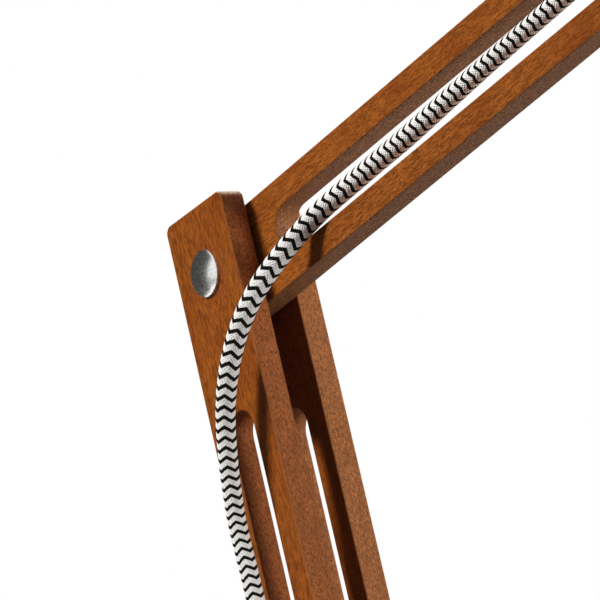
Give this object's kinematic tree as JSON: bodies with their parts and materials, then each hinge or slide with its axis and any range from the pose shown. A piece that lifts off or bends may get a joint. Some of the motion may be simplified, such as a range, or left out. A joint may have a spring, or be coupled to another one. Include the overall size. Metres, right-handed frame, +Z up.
{
  "type": "swing-arm table lamp",
  "caption": "Table lamp with slotted wooden arms that pivot at base, elbow and head, a conical shade and a textile cord with an inline switch.",
  "frame": {"origin": "centre of the base's underside, on the table", "axes": "+Z up; +X the way the upper arm reaches; Y along the hinge bolts, wing nuts on the +Y side"},
  "size_m": [0.5801, 0.3433, 0.6195],
  "materials": {
    "oiled_beech": "satin",
    "felt": "matte",
    "zinc_steel": "satin",
    "blackened_steel": "satin",
    "black_aluminium": "satin",
    "black_phenolic": "satin",
    "black_plastic": "matte",
    "white_plastic": "matte",
    "opal_glass": "satin",
    "cap_metal": "satin",
    "pin_metal": "gloss",
    "textile_cord": "matte"
  },
  "bodies": {
    "base": {"base_felt_pad": "felt", "base_disc": "oiled_beech", "base_weight": "blackened_steel", "weight_screws": "zinc_steel", "shoe_screws": "zinc_steel", "clamp_screws": "zinc_steel", "post_shoe": "oiled_beech", "base_post": "oiled_beech", "cord_clamp": "black_plastic", "base_spacer_washers": "zinc_steel", "cord_base_loop": "textile_cord", "cord_in_clamp": "textile_cord", "cord_lead": "textile_cord", "switch_lower_half": "black_phenolic", "switch_upper_half": "black_phenolic", "switch_cord_guards": "black_plastic", "cord_behind_switch": "textile_cord", "cord_coil": "textile_cord", "cord_tail": "textile_cord", "plug_body": "black_phenolic", "plug_pins": "pin_metal", "plug_cord_guard": "black_plastic"},
    "lower_arm": {"lower_cheek_near": "oiled_beech", "lower_cheek_far": "oiled_beech", "base_pivot_bolt": "zinc_steel", "base_pivot_outer_washer": "zinc_steel", "elbow_bolt": "zinc_steel", "elbow_outer_washer": "zinc_steel", "cord_lower": "textile_cord"},
    "upper_arm": {"upper_arm_plank": "oiled_beech", "elbow_spacer_washers": "zinc_steel", "head_spacer_washers": "zinc_steel", "cord_upper": "textile_cord", "cord_elbow": "textile_cord", "cord_head_loop": "textile_cord"},
    "head": {"head_clevis": "zinc_steel", "head_pivot_bolt": "zinc_steel", "head_pivot_outer_washer": "zinc_steel", "socket_cup": "black_aluminium", "cup_bolt": "zinc_steel", "cup_nut": "zinc_steel", "lamp_holder": "black_phenolic", "shade_ring": "black_phenolic", "lamp_shade": "black_aluminium", "bulb_screw_cap": "cap_metal", "bulb_collar": "white_plastic", "bulb_globe_glass": "opal_glass", "cord_gland": "black_plastic", "cord_in_gland": "textile_cord"},
    "base_wing_nut": {"base_pivot_wing_nut": "zinc_steel"},
    "elbow_wing_nut": {"elbow_wing_nut": "zinc_steel"},
    "head_wing_nut": {"head_pivot_wing_nut": "zinc_steel"},
    "switch_rocker": {"switch_rocker": "black_phenolic"}
  },
  "joints": [
    {"name": "base_tilt", "type": "hinge", "parent": "base", "child": "lower_arm", "pos_m": [0, 0, 0.072], "axis": [0, 1, 0], "range_deg": [-20, 25], "deforming": ["cord_base_loop"]},
    {"name": "elbow", "type": "hinge", "parent": "lower_arm", "child": "upper_arm", "pos_m": [-0.14848, 0, 0.42179], "axis": [0, 1, 0], "range_deg": [-50, 40], "deforming": ["cord_elbow"]},
    {"name": "head_tilt", "type": "hinge", "parent": "upper_arm", "child": "head", "pos_m": [0.21104, 0, 0.59714], "axis": [0, 1, 0], "range_deg": [-55, 25], "deforming": ["cord_head_loop"]},
    {"name": "base_wing_nut_turn", "type": "hinge", "parent": "lower_arm", "child": "base_wing_nut", "pos_m": [0, 0, 0.072], "axis": [0, 1, 0], "range_deg": [0, 180]},
    {"name": "elbow_wing_nut_turn", "type": "hinge", "parent": "lower_arm", "child": "elbow_wing_nut", "pos_m": [-0.14848, 0, 0.42179], "axis": [0, 1, 0], "range_deg": [0, 180]},
    {"name": "head_wing_nut_turn", "type": "hinge", "parent": "head", "child": "head_wing_nut", "pos_m": [0.21104, 0, 0.59714], "axis": [0, 1, 0], "range_deg": [0, 180]},
    {"name": "switch_rocker_press", "type": "hinge", "parent": "base", "child": "switch_rocker", "pos_m": [-0.217, 0.104, 0.014], "axis": [1, 0, 0], "range_deg": [0, 12]}
  ]
}
